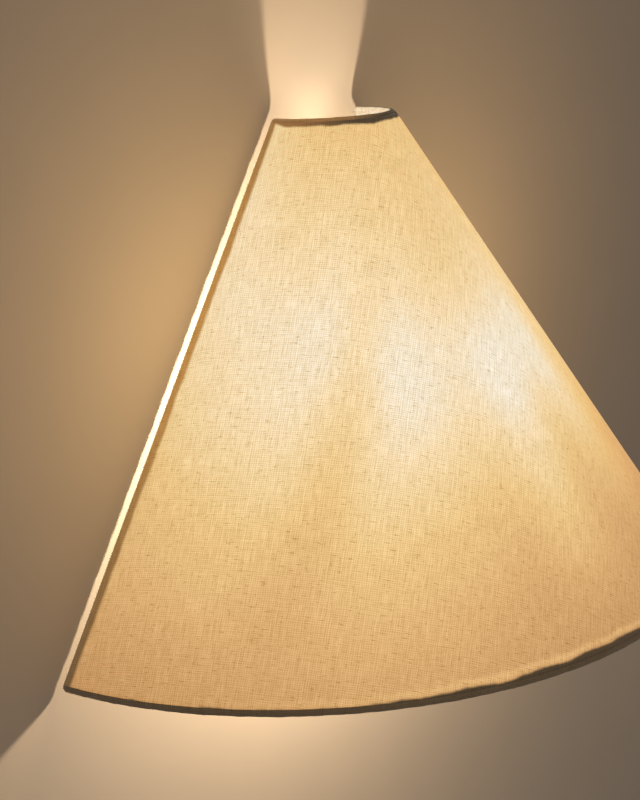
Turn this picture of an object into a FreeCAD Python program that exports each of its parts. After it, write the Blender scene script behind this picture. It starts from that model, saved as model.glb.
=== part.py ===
"""Wall light with a half-cone fabric shade, in millimetres.

+Z is up, the wall is the plane y = 0 and the light stands out from it towards -Y.
The origin is the centre of the wall plate's back face, midway between its two slots.
The shade hangs on two headed pegs and lifts straight up off them.
"""
import FreeCAD
import Part
import math
import os

os.makedirs("parts", exist_ok=True)
Vec = FreeCAD.Vector
UP = Vec(0, 0, 1)
TO_WALL = Vec(0, 1, 0)
TO_RIGHT = Vec(1, 0, 0)

# Shade: the outline of its two rims, seen from above as arcs that end near the wall
shade_height = 200.0
bottom_half_width = 162.5
bottom_depth = 154.0
top_half_width = 26.5
top_depth = 35.0
wall_gap = 1.5
rim_drop = 48.0

# Shade: cloth, stiff liner, wire frame and turned-in margins
fabric_thickness = 0.6
liner_thickness = 0.5
frame_wire_radius = 1.5
roll_play = 0.05
glue_line = 0.2
hem_width = 5.2
roll_creases = 10

# Shade carrier: the joggled strap that is welded across the side wires
strap_height = 15.0
strap_thickness = 1.5
strap_level = 17.0
strap_play = 0.4
joggle_outer_x = 70.0
joggle_inner_x = 58.0
joggle_radius = 4.0

# Pegs on the backplate that carry the strap
peg_spacing = 52.0
peg_radius = 2.0
peg_head_radius = 4.0
peg_head_length = 2.0
peg_play = 0.3

# Backplate: a pressed steel dish over the wiring
dish_radius = 47.0
dish_depth = 18.0
dish_wall = 1.2
dish_draft = 1.5
dish_edge_radius = 5.0
dish_edge_steps = 4

# Wall plate behind the dish
plate_height = 46.0
plate_thickness = 1.5
plate_corner = 5.0
slot_spacing = 50.0
slot_length = 12.0
slot_half_width = 2.25
cable_hole_radius = 6.0
cable_hole_drop = 11.0
lug_width = 20.0
lug_length = 12.0
lug_bend = 2.0
lug_shelf = 8.0
lug_play = 0.55
earth_hole_across = 20.0
earth_hole_drop = 15.0
side_screw_radius = 1.5
side_screw_head = 2.9
side_screw_depth = 8.0
screw_play = 0.05
screw_end = 0.6

# Arm: a bent tube from the dish up into the lampholder
arm_drop = 33.0
arm_radius = 5.0
arm_bore = 4.0
arm_bend = 13.0
arm_past_nut = 2.8
nut_across_flats = 14.0
nut_thickness = 3.0
collar_radius = 7.6
collar_length = 4.0

# Lampholder and bulb stand on one upright axis
lamp_distance = 52.0
contact_level = 2.0
holder_foot = 22.0
holder_radius = 13.5
holder_wall = 2.0
holder_lip = 3.0
holder_cap_foot = 9.0
holder_cap_rise = 5.0
mouth_play = 1.1
thread_play = 0.35
socket_wall = 0.5
socket_flare = 0.8
socket_flange = 2.2
socket_height = 20.0
insert_thickness = 5.0
insert_drop = 5.0
fit_play = 0.1

# Bulb: small screw cap, candle glass, upright filaments
cap_radius = 6.9
cap_bottom = 4.0
cap_height = 19.0
collar_flare = 1.4
collar_top = 2.5
bulb_length = 98.0
glass_radius = 17.5
glass_wall = 0.8
belly_level = 46.0
filament_count = 4
filament_radius = 0.9
filament_length = 36.0
filament_centre = 55.0
support_radius = 0.35

# Terminal block and leads
block_ways = 3
block_pitch = 9.0
block_depth = 13.0
block_height = 16.0
block_level = 13.0
barrel_radius = 2.2
lead_radius = 1.1
lead_bend = 6.6
lead_gap = 0.4

# Levels and places that follow from the sizes above
z_bottom = -rim_drop
z_top = z_bottom + shade_height
roll_inner = frame_wire_radius + roll_play
roll_outer = roll_inner + fabric_thickness
z_low_wire = z_bottom + roll_outer
z_high_wire = z_top - roll_outer
y_side_wire = -(wall_gap + roll_outer)
edge_slope = math.atan((bottom_half_width - top_half_width) / shade_height)
z_fabric_low = z_low_wire + roll_outer * math.sin(edge_slope)
z_fabric_high = z_high_wire + roll_inner * math.sin(edge_slope)
holder_bottom = contact_level - holder_foot
insert_top = contact_level - insert_drop
insert_bottom = insert_top - insert_thickness
socket_radius = cap_radius + thread_play
holder_mouth_radius = cap_radius + collar_flare + mouth_play
socket_top = insert_top + socket_height + insert_drop
y_dish_front = -dish_depth
y_dish_inside = -(dish_depth - dish_wall)
dish_bore_at_lug = dish_radius - dish_wall - dish_draft * lug_length / (dish_depth - dish_wall)
lug_reach = math.sqrt((dish_bore_at_lug - lug_play) ** 2 - (lug_width / 2) ** 2)
plate_width = 2 * (lug_reach - lug_shelf)
lamp = Vec(0, -lamp_distance, 0)
bulb_foot = lamp + UP * contact_level
peg_places = [Vec(side * peg_spacing / 2, 0, strap_level) for side in (-1, 1)]
slot_places = [Vec(side * slot_spacing / 2, 0, 0) for side in (-1, 1)]


def save(shape, name):
    """Write one piece and print its size."""
    shape.exportStep(os.path.join("parts", name + ".step"))
    print(name, "solids", len(shape.Solids), "volume", round(shape.Volume, 1), shape.isValid())


def slab(low, high, width=400.0):
    """Box between two corners, where None means far outside the light."""
    low = [-width if value is None else value for value in low]
    high = [width if value is None else value for value in high]
    size = [b - a for a, b in zip(low, high)]
    return Part.makeBox(*size, Vec(*low))


def polygon_face(points):
    return Part.Face(Part.makePolygon(points + points[:1]))


def turned(profile, foot=Vec(0, 0, 0), axis=UP):
    """Solid of revolution about an axis through foot, from (radius, distance along the axis) corners."""
    across = TO_RIGHT if axis != TO_RIGHT else TO_WALL
    points = [foot + across * radius + axis * along for radius, along in profile]
    return polygon_face(points).revolve(foot, axis, 360)


def rod(start, end, radius):
    return Part.makeCylinder(radius, (end - start).Length, start, end - start)


def hexagon_nut(foot, axis, across_flats, thickness, hole_radius):
    """Hexagonal nut that stands on foot, two of its flats level, with a plain hole."""
    corner = across_flats / math.sqrt(3)
    across = UP if axis != UP else TO_RIGHT
    other = axis.cross(across)
    corners = [foot + across * (corner * math.cos(turn)) + other * (corner * math.sin(turn))
               for turn in (math.radians(60 * step + 30) for step in range(6))]
    nut = polygon_face(corners).extrude(axis * thickness)
    return nut.cut(rod(foot - axis, foot + axis * (thickness + 1), hole_radius))


def rounded_path(points, radii):
    """Wire of straight runs joined by tangent arcs, one radius for each inner point."""
    edges = []
    start = points[0]
    for before, corner, after, radius in zip(points, points[1:], points[2:], radii):
        arriving = (corner - before).normalize()
        leaving = (after - corner).normalize()
        turn = arriving.getAngle(leaving)
        setback = radius * math.tan(turn / 2)
        arc_start = corner - arriving * setback
        arc_end = corner + leaving * setback
        inward = (leaving - arriving).normalize()
        centre = corner + inward * (radius / math.cos(turn / 2))
        edges.append(Part.makeLine(start, arc_start))
        edges.append(Part.Arc(arc_start, centre - inward * radius, arc_end).toShape())
        start = arc_end
    edges.append(Part.makeLine(start, points[-1]))
    return Part.Wire(edges)


def swept(path, outline):
    """Solid that a closed outline makes along a wire."""
    return path.makePipeShell([outline], True, True)


def swept_rod(path, radius):
    first = path.Edges[0]
    circle = Part.makeCircle(radius, first.valueAt(first.FirstParameter),
                             first.tangentAt(first.FirstParameter))
    return swept(path, Part.Wire(circle))


# ---------------------------------------------------------------- shade outline

def rim_circle(z):
    """Radius of the shade's outer arc at a height, and how far its centre is from the wall plane."""
    share = (z - z_bottom) / shade_height
    half_width = bottom_half_width + (top_half_width - bottom_half_width) * share
    depth = bottom_depth + (top_depth - bottom_depth) * share
    radius = (half_width ** 2 + depth ** 2) / (2 * depth)
    return radius, -(wall_gap + depth - radius)


def end_turn(radius, centre_y, y_end):
    """Angle from the shade's front to where an arc meets the plane y = y_end."""
    return math.acos((centre_y - y_end) / radius)


def rim_arc(z, inset, y_end):
    """Arc at a height, a distance inside the shade's outer face, ending on the plane y = y_end."""
    radius, centre_y = rim_circle(z)
    radius -= inset
    turn = end_turn(radius, centre_y, y_end)
    left, front, right = [Vec(radius * math.sin(angle), centre_y - radius * math.cos(angle), z)
                          for angle in (-turn, 0, turn)]
    return Part.Arc(left, front, right).toShape()


def layer(z_low, z_high, outer_inset, inner_inset, y_end):
    """Layer of the half cone between two insets, ruled from a low arc to a high arc."""
    outlines = []
    for z in (z_low, z_high):
        outer = rim_arc(z, outer_inset, y_end)
        inner = rim_arc(z, inner_inset, y_end)
        outlines.append(Part.Wire([
            outer,
            Part.makeLine(outer.lastVertex().Point, inner.lastVertex().Point),
            inner,
            Part.makeLine(inner.firstVertex().Point, outer.firstVertex().Point)]))
    return Part.makeLoft(outlines, True, True)


save(layer(z_fabric_low, z_fabric_high, 0, fabric_thickness, y_side_wire), "shade_fabric")

# The liner stops short of the wires, which lie in line with its edges
liner_inset = fabric_thickness + liner_thickness
liner_room = frame_wire_radius + 0.3
liner = layer(z_fabric_low, z_fabric_high, fabric_thickness, liner_inset, y_side_wire)
liner = liner.common(slab([None, None, z_low_wire + liner_room],
                          [None, y_side_wire - liner_room, z_high_wire - liner_room]))
save(liner, "shade_liner")


# ---------------------------------------------------------------- wire frame

wire_inset = roll_outer / math.cos(edge_slope)


def ring_place(z):
    """Radius, centre and end angle of the frame wire that runs round a rim at a height."""
    radius, centre_y = rim_circle(z)
    radius -= wire_inset
    return radius, Vec(0, centre_y, z), end_turn(radius, centre_y, y_side_wire)


def ring_end(z, side):
    """Centre of the ring wire's end at the wall, side -1 on the left and 1 on the right."""
    radius, centre, turn = ring_place(z)
    return centre + Vec(side * radius * math.sin(turn), -radius * math.cos(turn), 0)


def revolved_along_rim(face, centre, turn):
    """Solid that a face in the plane x = 0 makes when it is turned about a rim's centre."""
    face = face.copy()
    face.rotate(centre, UP, -math.degrees(turn))
    return face.revolve(centre, UP, 2 * math.degrees(turn))


def ring(z, thickness_radius):
    """Round bar that follows a rim at a height."""
    radius, centre, turn = ring_place(z)
    circle = Part.Circle(centre - TO_WALL * radius, TO_RIGHT, thickness_radius)
    return revolved_along_rim(Part.Face(Part.Wire(circle.toBSpline().toShape())), centre, turn)


bottom_wire = ring(z_low_wire, frame_wire_radius)
top_wire = ring(z_high_wire, frame_wire_radius)
save(bottom_wire, "bottom_ring_wire")
save(top_wire, "top_ring_wire")

side_lines = {}
for side, name in ((-1, "left"), (1, "right")):
    low = ring_end(z_low_wire, side)
    high = ring_end(z_high_wire, side)
    along = (high - low).normalize()
    side_lines[name] = (low, high, along, side)
    wire = rod(low - along * frame_wire_radius, high + along * frame_wire_radius, frame_wire_radius)
    save(wire.cut(bottom_wire).cut(top_wire), name + "_side_wire")


# ---------------------------------------------------------------- turned-in margins

# Where the roll leaves its wire to lie flat on the liner, as a turn from the shade's outward normal
roll_middle = (roll_inner + roll_outer) / 2
flange_inset = liner_inset + glue_line
leave_turn = math.acos((roll_outer - (flange_inset + fabric_thickness / 2) * math.cos(edge_slope)) / roll_middle)
roll_lap = 0.4
y_hem_end = y_side_wire - roll_outer - 0.3


def roll_outline(centre, outward, sideways, start_turn, last_turn):
    """C-shaped section of the creased cloth round a wire, between two turns from the outward direction."""
    def place(radius, turn):
        return centre + outward * (radius * math.cos(turn)) + sideways * (radius * math.sin(turn))

    turns = [start_turn + (last_turn - start_turn) * step / roll_creases for step in range(roll_creases + 1)]
    chord_radius = roll_inner / math.cos((last_turn - start_turn) / roll_creases / 2)
    inner = [place(chord_radius, turn) for turn in turns]
    outer = [place(roll_outer, turn) for turn in turns]
    return polygon_face(inner + outer[::-1])


def rim_hem(z_wire, z_margin, last_turn):
    """Cloth rolled round a ring wire, with its flat margin on the liner reaching to a height."""
    radius, centre, _ = ring_place(z_wire)
    outline = roll_outline(centre - TO_WALL * radius, -TO_WALL, UP, edge_slope, last_turn)
    roll = revolved_along_rim(outline, centre, end_turn(radius, centre.y, y_hem_end))
    toward_roll = math.copysign(roll_lap, z_wire - z_margin)
    z_leave = z_wire + roll_middle * math.sin(last_turn) + toward_roll
    z_low, z_high = sorted((z_leave, z_margin))
    flat = layer(z_low, z_high, flange_inset, flange_inset + fabric_thickness, y_hem_end)
    return roll.fuse(flat.cut(ring(z_wire, roll_inner)))


save(rim_hem(z_low_wire, z_bottom + hem_width, edge_slope + leave_turn - 2 * math.pi), "bottom_hem")
save(rim_hem(z_high_wire, z_top - hem_width, edge_slope - leave_turn + 2 * math.pi), "top_hem")


def margin_strip(z, side):
    """Section, at a height, of the flat margin along a side edge, as chords just inside the liner."""
    radius, centre_y = rim_circle(z)
    near = y_side_wire - roll_middle * math.sin(leave_turn) + roll_lap
    far = y_side_wire - hem_width
    points = []
    for inset, ends in ((flange_inset, (near, far)), (flange_inset + fabric_thickness, (far, near))):
        for y in ends:
            points.append(Vec(side * math.sqrt((radius - inset) ** 2 - (y - centre_y) ** 2), y, z))
    return Part.makePolygon(points + points[:1])


strap_low = strap_level - strap_height / 2
strap_high = strap_level + strap_height / 2
strap_notch = slab([None, y_side_wire - hem_width - 1, strap_low - 1], [None, y_side_wire + 0.3, strap_high + 1])
for name, (low, high, along, side) in side_lines.items():
    outward = Vec(side * math.cos(edge_slope), 0, math.sin(edge_slope))
    outline = roll_outline(low + along * (2 * roll_outer), outward, TO_WALL, 0, 2 * math.pi - leave_turn)
    roll = outline.extrude(along * ((high - low).Length - 4 * roll_outer))
    ends = (z_bottom + hem_width + roll_lap, z_top - hem_width - roll_lap)
    flat = Part.makeLoft([margin_strip(z, side) for z in (ends[0], sum(ends) / 2, ends[1])], True, True)
    flat = flat.cut(rod(low, high, roll_inner))
    save(roll.fuse(flat).cut(strap_notch), name + "_hem")


# ---------------------------------------------------------------- carrier strap

y_tab = y_side_wire - frame_wire_radius - strap_thickness / 2
y_strap = y_dish_front - strap_play - strap_thickness / 2
reach = bottom_half_width
strap_path = rounded_path(
    [Vec(-reach, y_tab, strap_low), Vec(-joggle_outer_x, y_tab, strap_low), Vec(-joggle_inner_x, y_strap, strap_low),
     Vec(joggle_inner_x, y_strap, strap_low), Vec(joggle_outer_x, y_tab, strap_low), Vec(reach, y_tab, strap_low)],
    [joggle_radius] * 4)
strap_end = polygon_face([Vec(-reach, y_tab + offset, strap_low + rise)
                          for offset, rise in ((-strap_thickness / 2, 0), (strap_thickness / 2, 0),
                                               (strap_thickness / 2, strap_height), (-strap_thickness / 2, strap_height))])
strap = swept(strap_path, strap_end.OuterWire)
between_wires = polygon_face([side_lines["left"][0], side_lines["right"][0],
                              side_lines["right"][1], side_lines["left"][1]])
strap = strap.common(between_wires.extrude(-TO_WALL * dish_depth * 2))
notch_radius = peg_radius + peg_play
for place in peg_places:
    round_end = rod(place, place - TO_WALL * dish_depth * 2, notch_radius)
    leg = slab([place.x - notch_radius, -dish_depth * 2, strap_low - 1], [place.x + notch_radius, 0, place.z])
    strap = strap.cut(round_end).cut(leg)
save(strap, "shade_carrier_strap")


# ---------------------------------------------------------------- wall plate

def rounded_plate(width, height, corner, thickness):
    """Plate with round corners, its back on the wall."""
    plate = slab([-width / 2, -thickness, -height / 2], [width / 2, 0, height / 2])
    upright = [edge for edge in plate.Edges if abs(edge.tangentAt(edge.FirstParameter).y) > 0.99]
    return plate.makeFillet(corner, upright)


def slot(place, length, half_width, depth):
    """Stadium-shaped cutter along X."""
    straight = length / 2 - half_width
    ends = [place + TO_RIGHT * straight, place - TO_RIGHT * straight]
    cutter = slab([ends[1].x, -depth, place.z - half_width], [ends[0].x, 1, place.z + half_width])
    for end in ends:
        cutter = cutter.fuse(rod(end + TO_WALL, end - TO_WALL * depth, half_width))
    return cutter


wall_plate = rounded_plate(plate_width, plate_height, plate_corner, plate_thickness)
lug_middle = plate_thickness / 2
for side in (-1, 1):
    bend_x = side * (lug_reach - lug_middle)
    path = rounded_path([Vec(side * (plate_width - lug_shelf) / 2, -lug_middle, 0), Vec(bend_x, -lug_middle, 0),
                         Vec(bend_x, -lug_length, 0)], [lug_bend])
    first = path.Edges[0].valueAt(path.Edges[0].FirstParameter)
    end = polygon_face([first + TO_WALL * y + UP * z for y, z in
                        ((-lug_middle, -lug_width / 2), (lug_middle, -lug_width / 2),
                         (lug_middle, lug_width / 2), (-lug_middle, lug_width / 2))])
    lug = swept(path, end.OuterWire)
    hole = rod(Vec(side * (plate_width / 2), -side_screw_depth, 0), Vec(side * dish_radius, -side_screw_depth, 0),
               side_screw_radius + screw_play)
    wall_plate = wall_plate.fuse(lug).cut(hole)
for place in slot_places:
    wall_plate = wall_plate.cut(slot(place, slot_length, slot_half_width, plate_thickness + 1))
earth_place = Vec(-earth_hole_across, 0, -earth_hole_drop)
earth_shank_radius = 2.0
for place, radius in ((Vec(0, 0, -cable_hole_drop), cable_hole_radius),
                      (earth_place, earth_shank_radius + screw_play)):
    wall_plate = wall_plate.cut(rod(place + TO_WALL, place - TO_WALL * (plate_thickness + 1), radius))
save(wall_plate.removeSplitter(), "wall_plate")


# ---------------------------------------------------------------- backplate dish

def dish_profile(radius, depth, edge_radius):
    """Half section of the tapered pan, from its rim to the middle of its face, with the pressed edge in short steps."""
    steps = [math.radians(90 * step / dish_edge_steps) for step in range(dish_edge_steps + 1)]
    face_radius = radius - dish_draft
    edge = [(face_radius - edge_radius * (1 - math.cos(turn)), depth - edge_radius * (1 - math.sin(turn)))
            for turn in steps]
    return [(radius, 0)] + edge + [(0, depth)]


arm_hole = Vec(0, 0, -arm_drop)
dish_outside = dish_profile(dish_radius, dish_depth, dish_edge_radius)
dish_inside = dish_profile(dish_radius - dish_wall, dish_depth - dish_wall, dish_edge_radius - dish_wall)
dish = turned(dish_outside + dish_inside[::-1], axis=-TO_WALL)
dish = dish.cut(rod(arm_hole, arm_hole - TO_WALL * (dish_depth + 1), arm_radius + screw_play))
for place in peg_places:
    dish = dish.cut(rod(place, place - TO_WALL * (dish_depth + 1), peg_radius + screw_play))
for side in (-1, 1):
    dish = dish.cut(rod(Vec(side * lug_reach, -side_screw_depth, 0), Vec(side * (dish_radius + 2), -side_screw_depth, 0),
                        side_screw_radius + screw_play))
save(dish, "backplate_dish")

# Two short screws through the dish's side into the plate's lugs
side_screws = []
for side in (-1, 1):
    outward = TO_RIGHT * side
    seat_depth = side_screw_depth - side_screw_head
    seat = Vec(side * (dish_radius - dish_draft * seat_depth / dish_depth), -side_screw_depth, 0)
    shank = rod(outward * (lug_reach - plate_thickness - screw_end) + Vec(0, seat.y, 0), seat, side_screw_radius)
    head = turned([(0, 0), (side_screw_head, 0), (side_screw_head, 0.9), (side_screw_head * 0.6, 1.7), (0, 1.7)],
                  seat, outward)
    side_screws.append(shank.fuse(head))
save(Part.makeCompound(side_screws), "dish_screws")

# Headed pegs, each held by a nut inside the dish
peg_nut_thickness = 3.0
peg_length = strap_play + strap_thickness + 0.7
pegs = []
peg_nuts = []
for place in peg_places:
    front = place + TO_WALL * y_dish_front
    back = place + TO_WALL * (y_dish_inside + peg_nut_thickness + 0.6)
    shank_end = front - TO_WALL * peg_length
    head = turned([(0, 0), (peg_head_radius, 0), (peg_head_radius, peg_head_length * 0.6),
                   (peg_head_radius * 0.8, peg_head_length), (0, peg_head_length)], shank_end, -TO_WALL)
    pegs.append(rod(back, shank_end, peg_radius).fuse(head))
    peg_nuts.append(hexagon_nut(place + TO_WALL * y_dish_inside, TO_WALL, 7.0, peg_nut_thickness,
                                peg_radius + screw_play))
save(Part.makeCompound(pegs), "shade_pegs")
save(Part.makeCompound(peg_nuts), "peg_nuts")


# ---------------------------------------------------------------- arm

arm_inner_end = arm_hole + TO_WALL * (y_dish_inside + nut_thickness + arm_past_nut)
arm_path = rounded_path([arm_inner_end, arm_hole + lamp,
                         lamp + UP * (holder_bottom + 6)], [arm_bend])
arm = swept_rod(arm_path, arm_radius).cut(swept_rod(arm_path, arm_bore))
save(arm, "swan_arm")
print("arm bend", arm_bend, "volume by section", round(math.pi * (arm_radius ** 2 - arm_bore ** 2) * arm_path.Length, 1))

nut_seat = arm_hole + TO_WALL * y_dish_inside
save(hexagon_nut(nut_seat, TO_WALL, nut_across_flats, nut_thickness, arm_radius + screw_play), "arm_lock_nut")
arm_collar = turned([(arm_radius + screw_play, 0), (collar_radius, 0), (collar_radius, collar_length * 0.4),
                     (arm_radius + 1, collar_length), (arm_radius + screw_play, collar_length)],
                    arm_hole + TO_WALL * y_dish_front, -TO_WALL)
save(arm_collar, "arm_collar")


# ---------------------------------------------------------------- lampholder

cap_neck_radius = holder_radius - holder_wall - fit_play
sleeve_bottom = insert_bottom - 1
cap_room = 2.5
holder_cap = turned([(arm_radius + screw_play, holder_bottom), (holder_cap_foot, holder_bottom),
                     (holder_radius, holder_bottom + holder_cap_rise),
                     (holder_radius, sleeve_bottom), (cap_neck_radius, sleeve_bottom),
                     (cap_neck_radius, insert_bottom), (cap_neck_radius - cap_room, insert_bottom),
                     (cap_neck_radius - cap_room, holder_bottom + 6),
                     (arm_radius + screw_play, holder_bottom + 6)], lamp)
save(holder_cap, "lampholder_cap")

sleeve_top = socket_top + 2
sleeve_bore = holder_radius - holder_wall
holder_sleeve = turned([(holder_radius, sleeve_bottom), (holder_radius, sleeve_top - 1.5),
                        (holder_radius - 1.5, sleeve_top), (holder_mouth_radius, sleeve_top),
                        (holder_mouth_radius, sleeve_top - holder_lip), (sleeve_bore, sleeve_top - holder_lip - 1),
                        (sleeve_bore, sleeve_bottom)], lamp)
save(holder_sleeve, "lampholder_sleeve")

insert = Part.makeCylinder(cap_neck_radius, insert_thickness, lamp + UP * insert_bottom, UP)
save(insert, "lampholder_insert")

socket_outside = socket_radius + socket_wall
shell = turned([(socket_radius, insert_top), (socket_radius, socket_top - 1), (socket_radius + socket_flare, socket_top),
                (socket_outside + socket_flare, socket_top), (socket_outside, socket_top - 1.2),
                (socket_outside, insert_top + socket_wall), (socket_radius + socket_flange, insert_top + socket_wall),
                (socket_radius + socket_flange, insert_top)], lamp)
save(shell, "lampholder_shell")

# Springy contact strip that the bulb's tip presses on
leaf_thickness = 0.5
leaf_low = insert_top + leaf_thickness / 2
leaf_high = contact_level - 0.3 - leaf_thickness / 2
leaf_path = rounded_path([lamp + Vec(-4.5, 0, leaf_low), lamp + Vec(5, 0, leaf_low), lamp + Vec(4.2, 0, leaf_high),
                          lamp + Vec(-2.5, 0, leaf_high)], [1.2, 1.2])
leaf_start = lamp + Vec(-4.5, 0, leaf_low)
leaf_end = polygon_face([leaf_start + TO_WALL * y + UP * z for y, z in
                         ((-2.2, -leaf_thickness / 2), (2.2, -leaf_thickness / 2),
                          (2.2, leaf_thickness / 2), (-2.2, leaf_thickness / 2))])
save(swept(leaf_path, leaf_end.OuterWire), "centre_contact")

post_offset = 3.6
post_length = 3.0
posts = [rod(lamp + Vec(side * post_offset, 0, insert_bottom - post_length),
             lamp + Vec(side * post_offset, 0, insert_bottom), 1.9) for side in (-1, 1)]
save(Part.makeCompound(posts), "lampholder_terminals")


# ---------------------------------------------------------------- terminal block and leads

block_width = block_ways * block_pitch
block_back = -plate_thickness
ways = [block_pitch * (way - (block_ways - 1) / 2) for way in range(block_ways)]
barrel_y = block_back - block_depth * 0.42
waist = block_depth * 0.3
outline = [Vec(-block_width / 2, block_back, 0)]
for x in ways:
    outline += [Vec(x - block_pitch / 2, block_back - waist, 0), Vec(x - block_pitch * 0.36, block_back - block_depth, 0),
                Vec(x + block_pitch * 0.36, block_back - block_depth, 0)]
outline += [Vec(block_width / 2, block_back - waist, 0), Vec(block_width / 2, block_back, 0)]
block = polygon_face(outline).extrude(UP * block_height)
block.translate(UP * (block_level - block_height / 2))
block_bottom = block_level - block_height / 2
barrels = []
block_screws = []
for x in ways:
    foot = Vec(x, barrel_y, block_bottom)
    block = block.cut(rod(foot - UP, foot + UP * (block_height + 1), barrel_radius))
    barrel = rod(foot + UP * 2, foot + UP * (block_height - 2), barrel_radius - 0.05)
    barrels.append(barrel.cut(rod(foot, foot + UP * block_height, lead_radius + 0.3)))
    for level in (0.3, 0.7):
        seat = foot + UP * (block_height * level)
        front = Vec(seat.x, block_back - block_depth, seat.z)
        block = block.cut(rod(seat, front - TO_WALL, 1.6))
        block_screws.append(rod(seat - TO_WALL * barrel_radius, seat - TO_WALL * (barrel_radius + 3), 1.5))
save(block, "terminal_block")
save(Part.makeCompound(barrels), "terminal_barrels")
save(Part.makeCompound(block_screws), "terminal_screws")

# Live and neutral leads: down from the block, forward through the arm, up to the lampholder's posts
lead_spread = lead_radius + lead_gap / 2
lead_top = block_bottom + 4
turn_y = -plate_thickness - 4.5
for name, way, side in (("live_lead", ways[0], -1), ("neutral_lead", ways[-1], 1)):
    points = [Vec(way, barrel_y, lead_top), Vec(way, barrel_y, block_bottom - 7), Vec(side * lead_spread, turn_y, -18),
              Vec(side * lead_spread, turn_y, -arm_drop), Vec(side * lead_spread, -lamp_distance, -arm_drop),
              lamp + Vec(side * lead_spread, 0, holder_bottom + 3),
              lamp + Vec(side * post_offset, 0, insert_bottom - post_length)]
    path = rounded_path(points, [lead_bend, lead_bend, lead_bend, arm_bend, 2 * lead_bend])
    lead = swept_rod(path, lead_radius).cut(posts[0]).cut(posts[1])
    print(name, "length", round(path.Length, 1), "volume by section", round(math.pi * lead_radius ** 2 * path.Length, 1))
    save(lead, name)

# Earth: a ring lug under a screw in the wall plate
lug_face = earth_place - TO_WALL * plate_thickness
lug_ring = Part.makeCylinder(4.0, 0.8, lug_face, -TO_WALL).cut(Part.makeCylinder(2.1, 3, lug_face + TO_WALL, -TO_WALL))
toward_block = Vec(1, 0, 0)
barrel_axis = lug_face - TO_WALL * 1.5
lug_barrel = rod(barrel_axis + toward_block * 3.6, barrel_axis + toward_block * 9, 1.3)
save(lug_ring.fuse(lug_barrel), "earth_lug")
head_seat = lug_face - TO_WALL * 0.8
earth_screw = turned([(0, 0), (3.4, 0), (3.4, 1.2), (2.4, 2.2), (0, 2.2)], head_seat, -TO_WALL)
earth_screw = earth_screw.fuse(rod(earth_place, head_seat, 2.0))
save(earth_screw, "earth_screw")
earth_start = barrel_axis + toward_block * 9
earth_path = rounded_path([earth_start, earth_start + toward_block * 8,
                           Vec(ways[1], barrel_y, block_bottom - 7), Vec(ways[1], barrel_y, lead_top)],
                          [lead_bend, lead_bend])
save(swept_rod(earth_path, lead_radius), "earth_lead")


# ---------------------------------------------------------------- bulb

def bulb_turned(profile):
    return turned(profile, bulb_foot)


tip = bulb_turned([(0, 0), (1.8, 0), (2.6, 0.9), (2.6, 1.6), (0, 1.6)])
save(tip, "bulb_tip_contact")
insulator = bulb_turned([(0, 1.6), (2.6, 1.6), (cap_radius - 0.8, cap_bottom), (0, cap_bottom)])
save(insulator, "bulb_insulator")
cap_top = cap_bottom + cap_height
collar_radius_outside = cap_radius + collar_flare
collar_bore = collar_radius_outside - 0.5
cap = bulb_turned([(0, cap_bottom), (cap_radius - 0.8, cap_bottom), (cap_radius, cap_bottom + 1.5),
                   (cap_radius, cap_top - 2), (collar_radius_outside, cap_top),
                   (collar_radius_outside, cap_top + collar_top), (collar_bore, cap_top + collar_top),
                   (collar_bore, cap_top), (0, cap_top)])
save(cap, "bulb_screw_cap")


neck_level = cap_top + 0.1
neck_radius = collar_bore - 0.05
glass_foot_radius = collar_radius_outside + 0.4
shoulder_level = cap_top + collar_top + 0.2
crown_radius = 2.4
crown_level = bulb_length - 1.4
glass_bands = 5


def belly_arc(end_radius, end_level, inset):
    """Points on the arc from the glass's widest level to an end point, as (radius, level), drawn in by an inset."""
    rise = end_level - belly_level
    span = glass_radius - end_radius
    curve = (span ** 2 + rise ** 2) / (2 * span)
    last_turn = math.asin(rise / curve)
    turns = [last_turn * band / glass_bands for band in range(glass_bands + 1)]
    return [(glass_radius - curve + (curve - inset) * math.cos(turn),
             belly_level + (curve - inset) * math.sin(turn)) for turn in turns]


def glass_outline(inset):
    """Half section of the candle glass from its neck up to its crown, drawn in by an inset."""
    foot = [(neck_radius - inset, neck_level), (neck_radius - inset, shoulder_level)]
    lower = belly_arc(glass_foot_radius, shoulder_level + 0.6, inset)[:0:-1]
    upper = belly_arc(crown_radius, crown_level, inset)
    crown = [(crown_radius * 0.6, bulb_length - 0.5 - inset), (crown_radius * 0.2, bulb_length - inset),
             (0, bulb_length - inset)]
    return foot + lower + upper + crown


save(bulb_turned(glass_outline(0) + glass_outline(glass_wall)[::-1]), "bulb_glass")

stem_foot = neck_level
filament_low = filament_centre - filament_length / 2
filament_high = filament_centre + filament_length / 2
stem = bulb_turned([(0, stem_foot), (neck_radius - glass_wall, stem_foot), (3.2, stem_foot + 5), (1.6, stem_foot + 9),
                    (1.2, filament_high + 3), (0, filament_high + 3)])
save(stem, "bulb_glass_stem")

low_spread = 7.0
high_spread = 5.0
filaments = []
supports = []
for step in range(filament_count):
    turn = math.radians(45 + 360 / filament_count * step)
    across = Vec(math.cos(turn), math.sin(turn), 0)
    low = bulb_foot + across * low_spread + UP * filament_low
    high = bulb_foot + across * high_spread + UP * filament_high
    filaments.append(rod(low, high, filament_radius))
    for end, root in ((low, bulb_foot + across * 1.5 + UP * (filament_low - 4.5)),
                      (high, bulb_foot + across * 1.0 + UP * (filament_high + 2))):
        supports.append(rod(root, end, support_radius).cut(filaments[-1]).cut(stem))
save(Part.makeCompound(filaments), "bulb_filaments")
save(Part.makeCompound(supports), "filament_supports")
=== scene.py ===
"""Wall light with a half-cone linen shade, lit, hanging on a plain wall.

Metres, +Z up, the wall is the plane y = 0 and the light stands out from it towards -Y.
"""
import math
import bmesh
import bpy
import numpy as np
from mathutils import Matrix, Vector


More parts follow.
